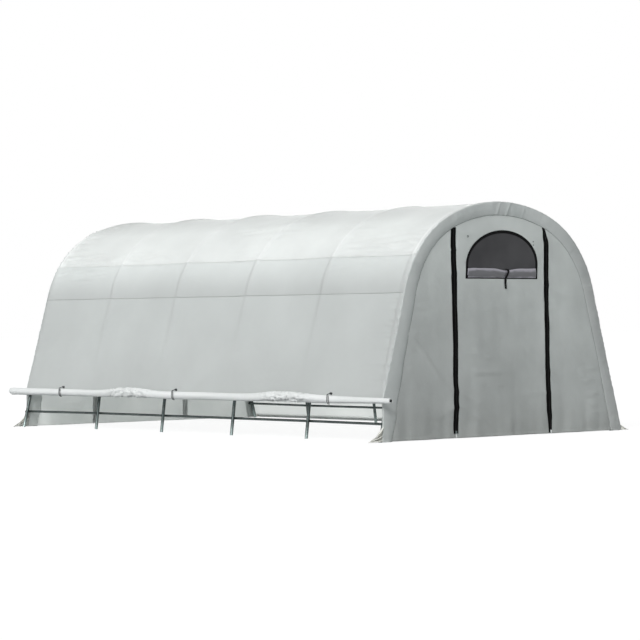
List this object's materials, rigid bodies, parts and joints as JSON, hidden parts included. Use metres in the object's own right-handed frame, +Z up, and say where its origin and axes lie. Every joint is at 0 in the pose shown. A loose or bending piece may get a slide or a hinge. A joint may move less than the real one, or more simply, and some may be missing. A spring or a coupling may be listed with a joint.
{
  "type": "polytunnel greenhouse",
  "caption": "Round-roofed polytunnel greenhouse on a steel tube frame, with a zipped door and mesh window at each end and one side rolled up for air.",
  "frame": {"origin": "on the ground under the middle of the tunnel, midway along its roll", "axes": "+Z up, -Y out of the front door, +X to the right of someone facing that door, so the rolled-up side is at -X"},
  "size_m": [3.9139, 6.616, 2.44],
  "materials": {
    "galvanised_tube": "galvanised",
    "cover_fabric": "woven polyethylene, translucent white",
    "roll_fabric": "woven polyethylene, several layers",
    "band_fabric": "woven polyethylene, in shade",
    "end_fabric": "woven polyethylene, ripstop grid",
    "zip_tape": "woven nylon",
    "black_binding": "woven tape",
    "black_webbing": "webbing",
    "window_mesh": "knitted insect mesh",
    "window_film": "translucent film",
    "tie_cord": "elastic cord"
  },
  "bodies": {
    "root": {"base_rail_left": "galvanised_tube", "base_rail_right": "galvanised_tube", "corner_tails": "cover_fabric", "cover_band_front": "band_fabric", "cover_band_rear": "band_fabric", "cover_roof": "cover_fabric", "cover_shoulder_left": "cover_fabric", "cover_shoulder_right": "cover_fabric", "cover_side_left": "cover_fabric", "cover_side_right": "cover_fabric", "front_door": "end_fabric", "front_door_zips": "zip_tape", "front_panel_left": "end_fabric", "front_panel_right": "end_fabric", "front_window_binding": "black_binding", "front_window_flap": "window_film", "front_window_screen": "window_mesh", "front_window_strap": "black_webbing", "hem_pipe_right": "galvanised_tube", "hoop_1": "galvanised_tube", "hoop_2": "galvanised_tube", "hoop_3": "galvanised_tube", "hoop_4": "galvanised_tube", "hoop_5": "galvanised_tube", "hoop_6": "galvanised_tube", "legs_1": "galvanised_tube", "legs_2": "galvanised_tube", "legs_3": "galvanised_tube", "legs_4": "galvanised_tube", "legs_5": "galvanised_tube", "legs_6": "galvanised_tube", "rear_door": "end_fabric", "rear_door_zips": "zip_tape", "rear_panel_left": "end_fabric", "rear_panel_right": "end_fabric", "rear_window_binding": "black_binding", "rear_window_flap": "window_film", "rear_window_screen": "window_mesh", "rear_window_strap": "black_webbing", "ridge_purlin": "galvanised_tube", "roll_pipe_left": "galvanised_tube", "roll_ties_left": "tie_cord", "shoulder_purlin_left": "galvanised_tube", "shoulder_purlin_right": "galvanised_tube", "side_roll_left": "roll_fabric"}
  },
  "joints": []
}
